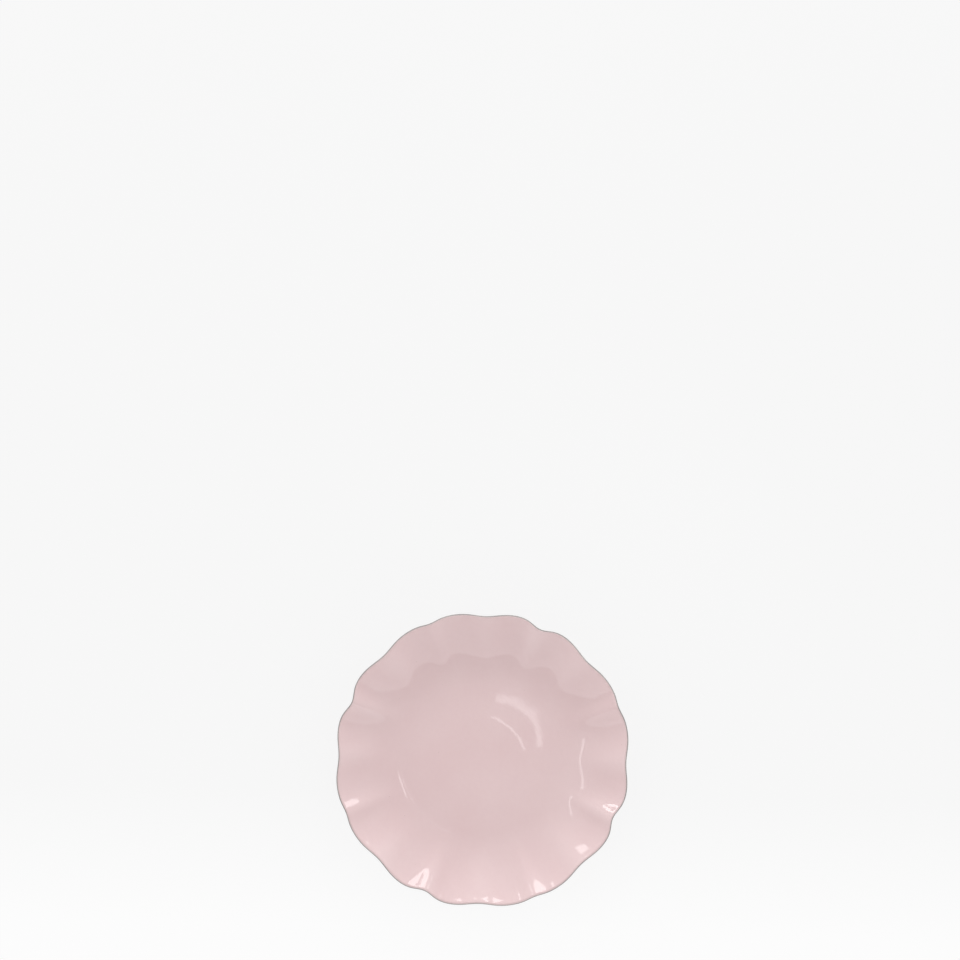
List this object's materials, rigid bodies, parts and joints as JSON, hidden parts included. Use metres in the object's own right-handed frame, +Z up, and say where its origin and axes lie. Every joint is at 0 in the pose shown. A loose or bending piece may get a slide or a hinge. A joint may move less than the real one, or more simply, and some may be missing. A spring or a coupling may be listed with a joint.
{
  "type": "bread plate",
  "caption": "Small round side plate in pink glazed stoneware, with a scalloped and fluted rising wall, a grey edge line and an unglazed foot ring.",
  "frame": {"origin": "on the table, under the middle of the plate, at the centre of the foot ring's resting face", "axes": "+Z up out of the well along the plate's axis; +X and +Y each pass through a soft dip of the rim"},
  "size_m": [0.1666, 0.1666, 0.0246],
  "materials": {
    "stoneware": "bare fired clay, matt and slightly gritty",
    "pink_glaze": "smooth gloss glaze, pale dusty pink",
    "grey_edge_glaze": "satin warm grey where the glaze breaks over the lip"
  },
  "bodies": {
    "root": {"stoneware_body": "stoneware", "face_glaze": "pink_glaze", "rim_edge_band": "grey_edge_glaze", "back_glaze": "pink_glaze", "foot_recess_glaze": "pink_glaze"}
  },
  "joints": []
}
